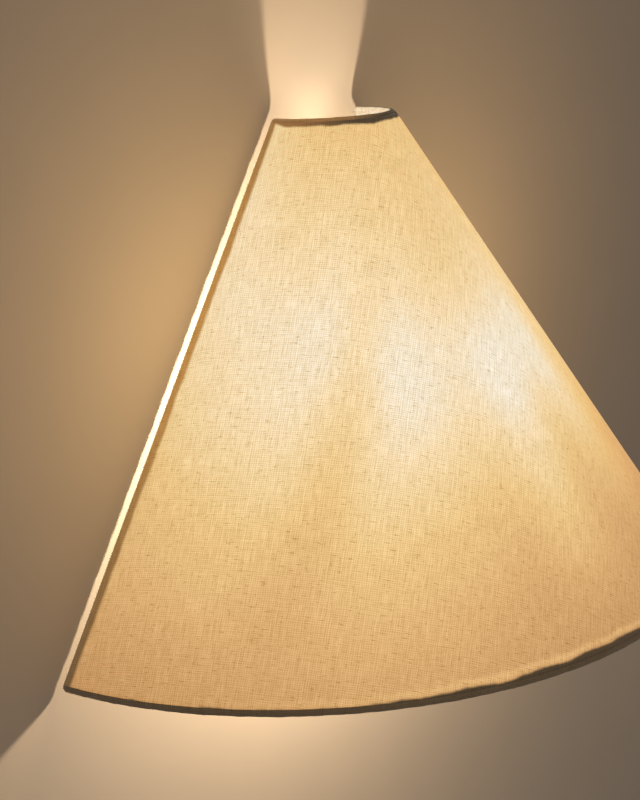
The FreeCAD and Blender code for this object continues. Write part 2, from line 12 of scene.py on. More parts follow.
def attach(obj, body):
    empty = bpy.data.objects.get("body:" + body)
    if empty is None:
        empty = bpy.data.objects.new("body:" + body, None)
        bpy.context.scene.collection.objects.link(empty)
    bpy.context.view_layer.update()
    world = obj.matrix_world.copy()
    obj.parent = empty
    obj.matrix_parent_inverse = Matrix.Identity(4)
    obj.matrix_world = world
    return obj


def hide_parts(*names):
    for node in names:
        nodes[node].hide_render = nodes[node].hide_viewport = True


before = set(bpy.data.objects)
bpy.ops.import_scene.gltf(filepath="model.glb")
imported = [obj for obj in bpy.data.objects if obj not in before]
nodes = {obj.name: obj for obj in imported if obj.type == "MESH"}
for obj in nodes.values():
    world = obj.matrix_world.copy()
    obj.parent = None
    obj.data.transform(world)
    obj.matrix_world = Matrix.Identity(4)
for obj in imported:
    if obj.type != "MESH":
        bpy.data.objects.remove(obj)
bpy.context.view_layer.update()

mm = 0.001


# ---------------------------------------------------------------- camera
# The photograph is taken from the light's left, a little above the bulb, with the
# camera tipped down and slightly rolled, through a lens of about twice normal length.

camera_place = Vector((-0.5376, -0.4799, 0.2072))
camera_yaw = math.radians(48.0)
camera_pitch = math.radians(-13.87)
camera_roll = math.radians(-3.27)
picture_height = 800
focal_pixels = 1721

ahead = Vector((math.sin(camera_yaw) * math.cos(camera_pitch),
                math.cos(camera_yaw) * math.cos(camera_pitch), math.sin(camera_pitch)))
level_right = Vector((math.cos(camera_yaw), -math.sin(camera_yaw), 0))
level_up = level_right.cross(ahead)
right = level_right * math.cos(camera_roll) + level_up * math.sin(camera_roll)
up = level_up * math.cos(camera_roll) - level_right * math.sin(camera_roll)
camera = bpy.data.objects.new("camera", bpy.data.cameras.new("camera"))
camera.data.sensor_width = 36
camera.data.lens = camera.data.sensor_width * focal_pixels / picture_height
camera.data.clip_start = 0.01
camera.matrix_world = Matrix.Translation(camera_place) @ Matrix((right, up, -ahead)).transposed().to_4x4()
bpy.context.scene.collection.objects.link(camera)
bpy.context.scene.camera = camera
bpy.context.scene.view_settings.view_transform = "Standard"


# ---------------------------------------------------------------- room
# A plain painted wall, dull enough for the bulb's light to show on it, with a pale floor
# below it. Both show from the front only, so that the light can be seen from behind.

class Value:
    """One socket of a finish, so that sums on what varies over a surface read as Python."""

    def __init__(self, finish, socket):
        self.finish = finish
        self.socket = socket

    def sum(self, operation, first, second):
        """Math node of this operation on two values or numbers."""
        return self.finish.node("ShaderNodeMath", {"operation": operation}, {0: first, 1: second})

    def __add__(self, other):
        return self.sum("ADD", self, other)

    def __sub__(self, other):
        return self.sum("SUBTRACT", self, other)

    def __rsub__(self, other):
        return self.sum("SUBTRACT", other, self)

    def __mul__(self, other):
        return self.sum("MULTIPLY", self, other)

    def __truediv__(self, other):
        return self.sum("DIVIDE", self, other)

    def __pow__(self, other):
        return self.sum("POWER", self, other)

    __radd__ = __add__
    __rmul__ = __mul__

    def larger(self, other):
        return self.sum("MAXIMUM", self, other)

    def sine(self):
        return self.sum("SINE", self, 0)

    def size(self):
        return self.sum("ABSOLUTE", self, 0)

    def bell(self):
        """1 at 0, falling as exp(-x squared)."""
        return self.sum("EXPONENT", self * self * -1, 0)

    def step(self, low, high):
        """Smooth step from 0 below low to 1 above high, or from 1 down to 0 where low is the higher."""
        settings = {"interpolation_type": "SMOOTHSTEP"}
        if low < high:
            return self.finish.node("ShaderNodeMapRange", settings, {0: self, 1: low, 2: high})
        return self.finish.node("ShaderNodeMapRange", settings, {0: self, 1: high, 2: low, 3: 1.0, 4: 0.0})


class Finish:
    """The nodes of a new material of this name, or of the world."""

    def __init__(self, name, world=None):
        self.material = world or bpy.data.materials.new(name)
        self.material.use_nodes = True
        self.tree = self.material.node_tree
        self.tree.nodes.clear()

    def node(self, kind, settings=None, sockets=None, output=0):
        """Any node: its settings first, then its sockets' values or links. Gives one of its outputs."""
        made = self.tree.nodes.new(kind)
        for name, value in (settings or {}).items():
            setattr(made, name, value)
        for name, value in (sockets or {}).items():
            if isinstance(value, Value):
                self.tree.links.new(value.socket, made.inputs[name])
            else:
                made.inputs[name].default_value = value
        return Value(self, made.outputs[output]) if made.outputs else None

    def mix(self, factor, first, second, blend="MIX"):
        """Colour between two colours."""
        colours = [(*c, 1.0) if isinstance(c, tuple) else c for c in (first, second)]
        return self.node("ShaderNodeMix", {"data_type": "RGBA", "blend_type": blend},
                         {0: factor, 6: colours[0], 7: colours[1]}, output=2)

    def ramp(self, value, stops):
        """Colour along a list of (place, colour) stops."""
        made = self.node("ShaderNodeValToRGB", sockets={0: value})
        elements = made.socket.node.color_ramp.elements
        while len(elements) < len(stops):
            elements.new(0.5)
        for element, (place, colour) in zip(elements, stops):
            element.position = place
            element.color = (*colour, 1.0)
        return made

    def places(self, scale=(1, 1, 1), source=None):
        """Object coordinates, or a given vector, scaled."""
        source = source or self.node("ShaderNodeTexCoord", output="Object")
        return self.node("ShaderNodeMapping", {}, {"Vector": source, "Scale": scale})

    def split(self, source=None):
        """The three numbers of object coordinates, or of a given vector."""
        source = source or self.node("ShaderNodeTexCoord", output="Object")
        made = self.node("ShaderNodeSeparateXYZ", {}, {0: source})
        return tuple(Value(self, socket) for socket in made.socket.node.outputs)

    def looked_along(self):
        """1 on a ray from the camera, a mirror or glass, and 0 on one that only carries light."""
        looked = self.node("ShaderNodeLightPath", output="Is Camera Ray")
        for kind in ("Is Glossy Ray", "Is Transmission Ray"):
            looked = looked.larger(self.node("ShaderNodeLightPath", output=kind))
        return looked

    def noise(self, places, scale=1.0, detail=2.0, roughness=0.5):
        """Soft noise, mostly between 0.3 and 0.7."""
        return self.node("ShaderNodeTexNoise", {}, {"Vector": places, "Scale": scale, "Detail": detail,
                                                    "Roughness": roughness})

    def bump(self, height, distance, strength=1.0):
        """Normal of a surface that a height from 0 to 1 lifts by a distance."""
        return self.node("ShaderNodeBump", {}, {"Height": height, "Distance": distance, "Strength": strength})

    def surface(self, **sockets):
        """Principled surface with these sockets, joined to the output."""
        named = {name.replace("_", " "): (*value, 1.0) if isinstance(value, tuple) else value
                 for name, value in sockets.items()}
        return self.show(self.node("ShaderNodeBsdfPrincipled", {}, named))

    def show(self, shader):
        """Joins a shader to the material's output."""
        self.node("ShaderNodeOutputMaterial", {}, {"Surface": shader})
        return self.material


def shaded(colour, share):
    """The colour made darker or lighter, no channel over 1."""
    return tuple(min(1.0, channel * share) for channel in colour)


paint_hides = 60 * mm
paint_shows = 90 * mm


def room_paint(name, colour):
    """Flat paint that only a camera, mirror or glass sees, from its front and from more than a few
    centimetres away, so that the back of the wall plate shows the pale studio, not the wall it touches."""
    paint = Finish(name)
    mottle = paint.noise(paint.places(), 30.0, 3.0)
    tone = paint.mix(mottle, shaded(colour, 0.97), shaded(colour, 1.03))
    matt = paint.node("ShaderNodeBsdfDiffuse", {}, {"Color": tone})
    clear = paint.node("ShaderNodeBsdfTransparent")
    front = 1 - paint.node("ShaderNodeNewGeometry", output="Backfacing")
    away = paint.node("ShaderNodeLightPath", output="Ray Length").step(paint_hides, paint_shows)
    visible = paint.looked_along() * front * away
    return paint.show(paint.node("ShaderNodeMixShader", {}, {0: visible, 1: clear, 2: matt}))


room_half_width = 4.0
floor_level = -1.5
wall_top = 3.0
wall_back = 0.1 * mm


def room_plane(name, low, high, material):
    """Rectangle between two opposite corners, part of the room and not of the object."""
    mesh = bpy.data.meshes.new(name)
    mesh.from_pydata([low, (high[0], low[1], low[2]), high, (low[0], high[1], high[2])], [], [(0, 1, 2, 3)])
    mesh.materials.append(material)
    plane = bpy.data.objects.new(name, mesh)
    bpy.context.scene.collection.objects.link(plane)
    return plane


wall = room_plane("wall", (-room_half_width, wall_back, floor_level), (room_half_width, wall_back, wall_top),
                  room_paint("wall_paint", (0.25, 0.20, 0.16)))
room_plane("floor", (-room_half_width, -room_half_width, floor_level),
           (room_half_width, wall_back, floor_level),
           room_paint("floor_paint", (0.84, 0.80, 0.74)))

# Studio light: an even world, whose own colour shows pale, and one broad soft lamp
daylight = (1.0, 0.97, 0.93)
studio_shown = (0.80, 0.76, 0.70)
world = bpy.data.worlds.new("studio")
bpy.context.scene.world = world
studio = Finish("studio", world)
even = studio.node("ShaderNodeBackground", {}, {"Color": (*daylight, 1.0), "Strength": 0.36})
pale = studio.node("ShaderNodeBackground", {}, {"Color": (*studio_shown, 1.0), "Strength": 1.0})
shown = studio.node("ShaderNodeMixShader", {}, {0: studio.looked_along(), 1: even, 2: pale})
studio.node("ShaderNodeOutputWorld", {}, {"Surface": shown})


def lamp(name, kind, place, power, colour, target=None, **settings):
    """Lamp at a place, turned to its target, with any other settings of its kind."""
    data = bpy.data.lights.new(name, kind)
    data.energy = power
    data.color = colour
    for setting, value in settings.items():
        setattr(data, setting, value)
    made = bpy.data.objects.new(name, data)
    made.location = place
    if target is not None:
        made.rotation_euler = (Vector(target) - Vector(place)).to_track_quat("-Z", "Y").to_euler()
    bpy.context.scene.collection.objects.link(made)
    return made


lamp("soft_key", "AREA", (-1.6, -2.2, 1.6), 14.0, daylight, target=(0, -0.08, 0.05), shape="DISK", size=1.6)

# The bulb's own light on the wall: it shines out above, below and beside the shade. Light thrown about
# inside the narrow top of the shade comes out there as well, and the linen glows on the wall on each side.
bulb_axis_y = -52 * mm
bulb_colour = (1.0, 0.86, 0.62)
linen_glow_colour = (1.0, 0.72, 0.33)
linen_glow_x = 68 * mm
bulb_glow = lamp("bulb_glow", "POINT", (-20 * mm, bulb_axis_y + 6 * mm, 20 * mm), 6.6, bulb_colour,
                 shadow_soft_size=7 * mm)
shade_glows = [lamp(name, "POINT", (x, -95 * mm, 72 * mm), power, linen_glow_colour, shadow_soft_size=40 * mm)
               for name, x, power in (("left_glow", -linen_glow_x, 0.95), ("right_glow", linen_glow_x, 0.65))]
top_glow = lamp("top_glow", "SPOT", (0, -25 * mm, 125 * mm), 0.20, bulb_colour, target=(0, 0, 185 * mm),
                spot_size=math.radians(70), spot_blend=0.8, shadow_soft_size=8 * mm)
lit_by_bulb = bpy.data.collections.new("lit_by_bulb")
lit_by_bulb.objects.link(wall)
shades_bulb = bpy.data.collections.new("shades_bulb")
no_shade = bpy.data.collections.new("no_shade")
for glow in (bulb_glow, top_glow, *shade_glows):
    glow.light_linking.receiver_collection = lit_by_bulb
    glow.light_linking.blocker_collection = no_shade if glow in shade_glows else shades_bulb


# ---------------------------------------------------------------- linen cover
# Natural linen in plain weave, cut as a sector of a ring, drawn over a stiff liner and
# turned in round the wires. The cloth's grain runs askew to the middle of the front.

z_bottom = -48 * mm
shade_height = 200 * mm
wall_gap = 1.5 * mm
rim_sizes = {"half_width": (162.5 * mm, 26.5 * mm), "depth": (154 * mm, 35 * mm)}
cloth_thickness = 0.5 * mm
roll_inner = 1.55 * mm
roll_outer = roll_inner + 0.6 * mm
y_side_wire = -(wall_gap + roll_outer)
edge_slope = math.atan((rim_sizes["half_width"][0] - rim_sizes["half_width"][1]) / shade_height)
z_low_wire = z_bottom + roll_outer
z_high_wire = z_bottom + shade_height - roll_outer
z_cover_low = z_low_wire + roll_outer * math.sin(edge_slope)
z_cover_high = z_high_wire + roll_inner * math.sin(edge_slope)


def rim(z):
    """Radius of the shade's outline at a height, and its centre's y: the arc through a half width and a depth
    that both change evenly with height."""
    share = (z - z_bottom) / shade_height
    half_width, depth = ((1 - share) * low + share * high for low, high in rim_sizes.values())
    radius = (half_width ** 2 + depth ** 2) / (2 * depth)
    return radius, -(wall_gap + depth - radius)


def shade_point(across, z, inset=0.0, y_end=y_side_wire):
    """Point on the shade: across runs from -1 at the left wall edge to 1 at the right one, as an even share
    of the arc at height z, and inset is how far inside the outer face the point lies."""
    radius, centre_y = rim(z)
    radius = radius - inset
    angle = across * np.arccos((centre_y - y_end) / radius)
    x, y = radius * np.sin(angle), centre_y - radius * np.cos(angle)
    return np.stack(np.broadcast_arrays(x, y, z), axis=-1)


# The flat pattern: each straight line from rim to rim, with its foot, direction and length on the flat cloth
grain_turn = math.radians(10.5)
pattern_across = np.linspace(-1, 1, 401)
feet = shade_point(pattern_across, z_cover_low)
heads = shade_point(pattern_across, z_cover_high)
pattern_length = np.linalg.norm(heads - feet, axis=1)
foot_steps = np.linalg.norm(np.diff(feet, axis=0), axis=1)
head_steps = np.linalg.norm(np.diff(heads, axis=0), axis=1)
fan = np.concatenate([[0], np.cumsum((foot_steps - head_steps) / pattern_length[1:])])
pattern_turn = math.pi / 2 - grain_turn + fan
step_turn = (pattern_turn[1:] + pattern_turn[:-1]) / 2 - math.pi / 2
pattern_feet = np.concatenate([[[0, 0]], np.cumsum(
    foot_steps[:, None] * np.stack([np.cos(step_turn), np.sin(step_turn)], axis=1), axis=0)])


def on_cloth(across, up_cloth, sideways=0.0):
    """Place on the flat cloth: the foot of the line at across, then up_cloth along that line, and sideways
    square to it."""
    turn = np.interp(across, pattern_across, pattern_turn)
    foot = np.stack([np.interp(across, pattern_across, pattern_feet[:, axis]) for axis in (0, 1)], axis=-1)
    along = np.stack([np.cos(turn), np.sin(turn)], axis=-1)
    square = np.stack([np.sin(turn), -np.cos(turn)], axis=-1)
    up_cloth, sideways = np.broadcast_arrays(up_cloth, sideways)
    return foot + along * up_cloth[..., None] + square * sideways[..., None]


def waves(along, lengths, size, seed):
    """Uneven line: sines of the given wave lengths with seeded starts, together about size high."""
    starts = np.random.default_rng(seed).uniform(0, 2 * math.pi, len(lengths))
    sines = (np.sin(2 * math.pi * along / length + start) for length, start in zip(lengths, starts))
    return size * sum(sines) / len(lengths)


def skin(name, points, body, closed=False, maps=None):
    """Object whose mesh is a grid of points, rows first. closed joins the last column to the first.
    Faces look to the side from which columns run right and rows run up. maps gives UV places per point."""
    rows, columns = points.shape[:2]
    number = np.arange(rows * columns).reshape(rows, columns)
    if closed:
        number = np.concatenate([number, number[:, :1]], axis=1)
    faces = np.stack([number[:-1, :-1], number[:-1, 1:], number[1:, 1:], number[1:, :-1]], axis=-1)
    faces = faces.reshape(-1, 4)
    mesh = bpy.data.meshes.new(name)
    mesh.from_pydata(points.reshape(-1, 3).tolist(), [], faces.tolist())
    for map_name, places in (maps or {}).items():
        layer = mesh.uv_layers.new(name=map_name)
        layer.data.foreach_set("uv", places.reshape(-1, 2)[faces.reshape(-1)].astype(np.float32).ravel())
    mesh.polygons.foreach_set("use_smooth", np.ones(len(faces), bool))
    made = bpy.data.objects.new(name, mesh)
    bpy.context.scene.collection.objects.link(made)
    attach(made, body)
    return made


def thicken(piece, thickness, offset=0.0):
    """Gives a skin a wall: offset -1 puts it all behind the face, 0 half on each side."""
    wall_modifier = piece.modifiers.new("wall", "SOLIDIFY")
    wall_modifier.thickness = thickness
    wall_modifier.offset = offset


# Light through the shade, on its unrolled face: across 0 at the right wall edge to 1 at the left one, down
# 0 at the top rim to 1 at the bottom. It falls off towards the bottom. Soft patches lie where the filaments
# and their reflections shine through, with one darker streak between them.
glow_top = 0.545
glow_fall = 0.205
glow_patches = [  # across, down, half width, half height, lean, strength
    (0.13, 0.45, 0.35, 0.40, -0.27, 0.22),      # the whole of the right side
    (0.40, 0.60, 0.05, 0.18, -0.04, 0.11),      # streak below the middle
    (0.48, 0.47, 0.12, 0.15, 0.14, 0.16),       # round patch just right of the front
    (0.515, 0.68, 0.05, 0.21, -0.02, 0.14),     # streak below that patch
    (0.69, 0.46, 0.135, 0.30, -0.02, 0.245),    # tall patch on the left of the front
    (0.76, 0.58, 0.045, 0.29, 0.21, -0.12),     # darker streak that crosses its foot
    (0.94, 0.38, 0.19, 0.60, -0.27, 0.21)]      # along the left wall edge
# How the lit cloth shows at each level of light through it. The studio's light on the cloth gives
# studio_level times the cloth's own colour of that, and the light through it the rest.
studio_level = 0.53
linen_colour = (0.44, 0.36, 0.24)
# Painted shade: the dark brown base colour of the cloth where the turned-in margin lies behind it, standing
# in for the light that the doubled cloth keeps back
margin_painted_shade = (0.15, 0.10, 0.055)
layered_light = (0.433, 0.200, 0.038)
no_light = (0.0, 0.0, 0.0)
shown_colours = [(0.20, (0.34, 0.17, 0.05)), (0.345, (0.56, 0.305, 0.118)), (0.43, (0.665, 0.386, 0.162)),
                 (0.50, (0.753, 0.462, 0.195)), (0.59, (0.832, 0.558, 0.240)), (0.67, (0.880, 0.645, 0.330)),
                 (0.725, (0.913, 0.701, 0.413)), (0.80, (0.905, 0.790, 0.600)), (0.90, (0.94, 0.87, 0.72))]
warp_pitch = 0.86 * mm
weft_pitch = 0.80 * mm


def weave(finish, cloth):
    """(tone about 1, height 0 to 1, fleck mask) of plain linen weave on a map in metres: threads are rounded,
    uneven along their length, with thick slubs along the weft and specks of seed husk."""
    wander = finish.noise(cloth, 160.0, 3.0) - 0.5
    x, y = (place + wander * 0.9 * mm for place in finish.split(cloth)[:2])
    warp = (x * (math.pi / warp_pitch)).sine()
    weft = (y * (math.pi / weft_pitch)).sine()
    over = (warp * weft * 3.0).step(-1.0, 1.0)
    height = over * warp.size() + (1 - over) * weft.size()
    thin_warp = finish.noise(finish.places((1400, 110, 1), source=cloth), 1.0, 1.0) - 0.5
    thin_weft = finish.noise(finish.places((130, 1500, 1), source=cloth), 1.0, 1.0) - 0.5
    slub = finish.noise(finish.places((330, 1700, 1), source=cloth), 1.0, 0.0).step(0.68, 0.78)
    short_slub = finish.noise(finish.places((1500, 420, 1), source=cloth), 1.0, 0.0).step(0.72, 0.82)
    speck = finish.node("ShaderNodeTexVoronoi", {}, {"Vector": finish.places((150, 190, 1), source=cloth)})
    speck_colour = Value(finish, speck.socket.node.outputs["Color"])
    chosen = finish.node("ShaderNodeSeparateColor", {}, {0: speck_colour})
    fleck = speck.step(0.11, 0.05) * chosen.step(0.74, 1.0)
    tone = 1 + (height - 0.55) * 0.32 + thin_warp * 0.40 + thin_weft * 0.24 - slub * 0.22 - short_slub * 0.18
    return tone, height, fleck


def linen(name, colours):
    """Natural linen. colours(finish, cloth) gives the base colour, the cloth's own or, on the margins, a
    painted shade, and the colour of the bulb's light that comes through it or falls on it, painted as a glow.
    Both are browner where a thread is thick."""
    finish = Finish(name)
    cloth = finish.node("ShaderNodeUVMap", {"uv_map": "cloth"})
    tone, height, fleck = weave(finish, cloth)
    shade = tone * (1 - fleck * 0.66)
    browner = finish.node("ShaderNodeCombineColor", {},
                          {"Red": shade, "Green": shade ** 1.25, "Blue": shade ** 1.9})
    # own is the base colour, in places a painted shade; lit is painted light, shown as a glow
    own, lit = (finish.mix(1.0, colour, browner, "MULTIPLY") for colour in colours(finish, cloth))
    return finish.surface(Base_Color=own, Roughness=0.86, Sheen_Weight=0.10, Sheen_Roughness=0.45,
                          Specular_IOR_Level=0.15, Normal=finish.bump(height, 0.12 * mm, 0.45),
                          Emission_Color=lit, Emission_Strength=1.0)


def split_map(finish, uv_map):
    """The two numbers of a UV map."""
    return finish.split(finish.node("ShaderNodeUVMap", {"uv_map": uv_map}))[:2]


# Where the border of the turned-in margin lies from the bottom, top and side edges, and how much that
# changes towards one side
border_unevenness = 3.4 * mm
bottom_border = -0.3 * mm
bottom_border_right_gain = 2.5 * mm
top_border = 1.9 * mm
top_border_left_gain = -0.9 * mm
side_border = (1.9 * mm, 3.9 * mm)
fringe_place = 1.9 * mm
fringe_width = 1.2 * mm
redder_light = (1.09, 0.97, 0.70)


def cover_colours(finish, cloth):
    """Linen over the liner. Light comes through in patches, redder where the cloth turns away to the right.
    Along each edge the turned-in margin behind it keeps the light back, up to an uneven border, and there the
    cloth's base colour is a painted shade, dark brown. A brighter fringe of light lies just above that border
    along the bottom rim and fades out to the left."""
    across, down = split_map(finish, "place")
    level = glow_top - down * down * glow_fall
    for patch_across, patch_down, half_width, half_height, lean, strength in glow_patches:
        beside = across - patch_across - (down - patch_down) * lean
        level = level + (beside / half_width).bell() * ((down - patch_down) / half_height).bell() * strength
    level = level + (finish.noise(cloth, 22.0, 2.0) - 0.5) * 0.06
    from_side, from_rim = split_map(finish, "edges")
    uneven = (finish.noise(cloth, 75.0, 3.0) - 0.5) * border_unevenness
    low = down.step(0.4, 0.6)
    low_reach = across.step(0.82, 0.52) * bottom_border_right_gain + bottom_border
    high_reach = across.step(0.93, 0.99) * top_border_left_gain + top_border
    past_rim = from_rim + uneven - low * low_reach - (1 - low) * high_reach
    rim_face = past_rim.step(-0.6 * mm, 0.7 * mm)
    side_face = (from_side + uneven * 0.5).step(*side_border)
    fringe = ((past_rim - fringe_place) / fringe_width).bell() * low * across.step(0.95, 0.55) * 0.10
    stops = [(spot, tuple(max(0.0, shown - studio_level * own) for shown, own in zip(colour, linen_colour)))
             for spot, colour in shown_colours]
    face_light = finish.ramp(level + fringe, stops)
    redder = finish.mix(1.0, face_light, redder_light, "MULTIPLY")
    face_light = finish.mix(((across - 0.31) / 0.08).bell(), face_light, redder)
    side_light = finish.mix(((down - 0.36) / 0.506).bell(), no_light, layered_light)
    top_light = finish.mix((1 - low) * across.step(0.60, 0.95), no_light, (0.24, 0.10, 0.02))
    # Painted shade: where the margin lies behind, the base colour is the dark brown painted shade, not the
    # linen's own
    own = finish.mix(rim_face * side_face, margin_painted_shade, linen_colour)
    return own, finish.mix(rim_face, top_light, finish.mix(side_face, side_light, face_light))


cover_columns = 241
cover_rows = 121
across_grid, rise_grid = np.meshgrid(np.linspace(-1, 1, cover_columns), np.linspace(0, 1, cover_rows))
cover_z = z_cover_low + (z_cover_high - z_cover_low) * rise_grid
cover_points = shade_point(across_grid, cover_z)
line_length = np.interp(across_grid, pattern_across, pattern_length)
cover_radius, cover_centre_y = rim(cover_z)
half_arc = np.arccos((cover_centre_y - y_side_wire) / cover_radius) * cover_radius
from_side = half_arc * (1 - np.abs(across_grid))
from_rim = line_length * np.minimum(rise_grid, 1 - rise_grid)
# Hand-made cloth: a few tenths of a millimetre of unevenness, none at the wires
cloth_unevenness = 0.25 * mm
held_flat = 12 * mm
uneven = (waves(across_grid * 0.25 + rise_grid * 0.06, (0.071, 0.113, 0.19), cloth_unevenness, 4)
          * np.clip(np.minimum(from_side, from_rim) / held_flat, 0, 1))
outward = np.stack([cover_points[..., 0], cover_points[..., 1] - cover_centre_y, np.zeros_like(cover_z)],
                   axis=-1)
outward /= np.linalg.norm(outward, axis=-1, keepdims=True)
cover = skin("linen_cover", cover_points + outward * uneven[..., None], "shade", maps={
    "cloth": on_cloth(across_grid, line_length * rise_grid),
    "place": np.stack([(1 - across_grid) / 2, 1 - rise_grid], axis=-1),
    "edges": np.stack([from_side, from_rim], axis=-1)})
thicken(cover, cloth_thickness, -1.0)
cover.data.materials.append(linen("linen_lit", cover_colours))
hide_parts("shade_fabric")


# ---------------------------------------------------------------- turned-in margins
# The cover's edges go round the ring wires and side wires and are glued down inside on
# the liner. The rolls are a little lumpy, and the cut edge inside isn't straight.

hem_width = 5.2 * mm
roll_middle = (roll_inner + roll_outer) / 2
roll_room = 0.05 * mm
wire_inset = roll_outer / math.cos(edge_slope)
liner_inside = 1.3 * mm
margin_inset = liner_inside + cloth_thickness / 2
leave_turn = math.acos((roll_outer - margin_inset * math.cos(edge_slope)) / roll_middle)
roll_rows = 22
margin_rows = 7
rim_columns = 361
side_columns = 241
rim_lump = 0.16 * mm
rim_ragged = 0.9 * mm
side_lump = 0.14 * mm
side_ragged = 0.8 * mm


def rim_colours(finish, cloth):
    """Several layers of linen. Their base colour is a painted shade, dark brown, and where they face out no
    light comes through, except a painted glow near the wall at the left of the top rim. Inside, the bulb's
    light is painted on the cloth. The turn map's first number is how far round the roll a place lies, as a
    share of a full turn, and its second is the height."""
    turn, height = split_map(finish, "turn")
    past = turn - height.step(50 * mm, 0.0) * 0.08
    top_left = finish.split()[0].step(5 * mm, -25 * mm) * height.step(100 * mm, 120 * mm)
    through = finish.mix(top_left, no_light, (0.22, 0.10, 0.025))
    return margin_painted_shade, finish.mix(past.step(0.16, 0.25), through, (0.80, 0.62, 0.40))


def side_colours(finish, cloth):
    """The same painted shade along the wall, where painted light from the gap catches the roll, most near the
    bulb's height.
    """
    turn, height = split_map(finish, "turn")
    near_bulb = ((height - 80 * mm) / (99 * mm)).bell()
    through = finish.mix(near_bulb, no_light, layered_light)
    caught = finish.mix(((height - 60 * mm) / (90 * mm)).bell(), (0.46, 0.29, 0.13), (0.98, 0.80, 0.50))
    return margin_painted_shade, finish.mix(turn.step(0.03, 0.08), through, caught)


rim_linen = linen("linen_rim_margin", rim_colours)
side_linen = linen("linen_side_margin", side_colours)


def hem_skin(name, roll, margin, cloth_map, turned, material, node, flip):
    """Roll and glued margin as one skin with a cloth's thickness. flip keeps its outer face outwards where
    its columns would otherwise run the other way."""
    points = np.concatenate([roll, margin])
    turn_map = np.stack(np.broadcast_arrays(turned, points[..., 2]), axis=-1)
    if flip:
        points, cloth_map, turn_map = points[:, ::-1], cloth_map[:, ::-1], turn_map[:, ::-1]
    hem = skin(name, points, "shade", maps={"cloth": cloth_map, "turn": turn_map})
    thicken(hem, cloth_thickness)
    hem.data.materials.append(material)
    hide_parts(node)
    return hem


def rim_hem(name, node, z_wire, z_margin, last_turn, seed):
    """Cloth round a ring wire: turns round the wire's centre line, then a strip on the liner's inner face."""
    columns = np.linspace(-1, 1, rim_columns)
    radius, centre_y = rim(z_wire)
    radius -= wire_inset
    angle = columns * math.acos((centre_y - y_side_wire) / radius)
    along = angle * radius
    out = np.stack([np.sin(angle), -np.cos(angle), np.zeros_like(angle)], axis=-1)
    turns = np.linspace(edge_slope, last_turn, roll_rows)[:, None]
    lump = waves(along, (0.0071, 0.013, 0.031), rim_lump, seed) * np.sin((turns - edge_slope) / 2)
    reach = roll_middle + roll_room + lump
    roll = (np.array([0, centre_y, z_wire]) + out * (radius + reach * np.cos(turns))[..., None]
            + np.array([0, 0, 1]) * (reach * np.sin(turns))[..., None])
    share = np.linspace(0, 1, margin_rows)[:, None]
    z_leave = z_wire + roll_middle * math.sin(last_turn)
    ragged = waves(along, (0.004, 0.011, 0.023, 0.047), rim_ragged, seed + 1) * share
    z = z_leave + (z_margin - z_leave) * share + ragged
    margin = shade_point(columns * np.ones_like(share), z, margin_inset, y_side_wire)
    round_roll = (turns - edge_slope) * roll_middle * np.ones_like(columns)
    along_margin = (last_turn - edge_slope) * roll_middle + np.sign(last_turn) * np.abs(z - z_leave)
    up_cloth = np.concatenate([round_roll, along_margin])
    foot = 0 if z_wire < 0 else pattern_length.mean()
    cloth_map = on_cloth(columns * np.ones_like(up_cloth), up_cloth + foot)
    turned = np.concatenate([np.abs(turns - edge_slope) / (2 * math.pi), np.ones_like(share)])
    return hem_skin(name, roll, margin, cloth_map, turned, rim_linen, node, flip=last_turn < 0)


def side_hem(name, node, side, seed):
    """Cloth round a side wire, closed over the wire's ends, then a strip along the liner's edge."""
    ends = []
    for z in (z_low_wire, z_high_wire):
        radius, centre_y = rim(z)
        angle = side * math.acos((centre_y - y_side_wire) / (radius - wire_inset))
        ends.append(np.array([(radius - wire_inset) * math.sin(angle), y_side_wire, z]))
    along_side = (ends[1] - ends[0]) / np.linalg.norm(ends[1] - ends[0])
    length = np.linalg.norm(ends[1] - ends[0]) + 2 * roll_outer
    distance = np.linspace(0, 1, side_columns) * length
    centre = ends[0] + along_side * (distance - roll_outer)[:, None]
    cap = np.clip(np.minimum(distance, length - distance) / roll_outer, 0.0, 1.0)
    close = np.sqrt(np.clip(1 - (1 - cap) ** 2, 1e-4, 1))
    out = np.array([side * math.cos(edge_slope), 0, math.sin(edge_slope)])
    turns = np.linspace(0, 2 * math.pi - leave_turn, roll_rows)[:, None]
    lump = waves(distance, (0.008, 0.017, 0.041), side_lump, seed) * np.sin(turns / 2)
    reach = (roll_middle + roll_room + lump) * close
    roll = (centre + out * (reach * np.cos(turns))[..., None]
            + np.array([0, 1, 0]) * (reach * np.sin(turns))[..., None])
    share = np.linspace(0, 1, margin_rows)[:, None]
    ragged = waves(distance, (0.005, 0.012, 0.029), side_ragged, seed + 1) * share
    z = np.clip(roll[-1, :, 2], z_cover_low, z_cover_high) * np.ones_like(share)
    y = roll[-1, :, 1] - (hem_width - roll_middle + ragged) * share * close
    radius, centre_y = rim(z)
    margin = np.stack([side * np.sqrt((radius - margin_inset) ** 2 - (y - centre_y) ** 2), y, z], axis=-1)
    margin[0] = roll[-1]
    around = np.concatenate([turns * roll_middle * np.ones_like(distance),
                             turns[-1] * roll_middle + share * hem_width * np.ones_like(distance)])
    cloth_map = on_cloth(side * np.ones_like(around), distance * np.ones_like(around), side * around)
    turned = np.concatenate([turns / (2 * math.pi), np.ones_like(share)])
    return hem_skin(name, roll, margin, cloth_map, turned, side_linen, node, flip=side < 0)


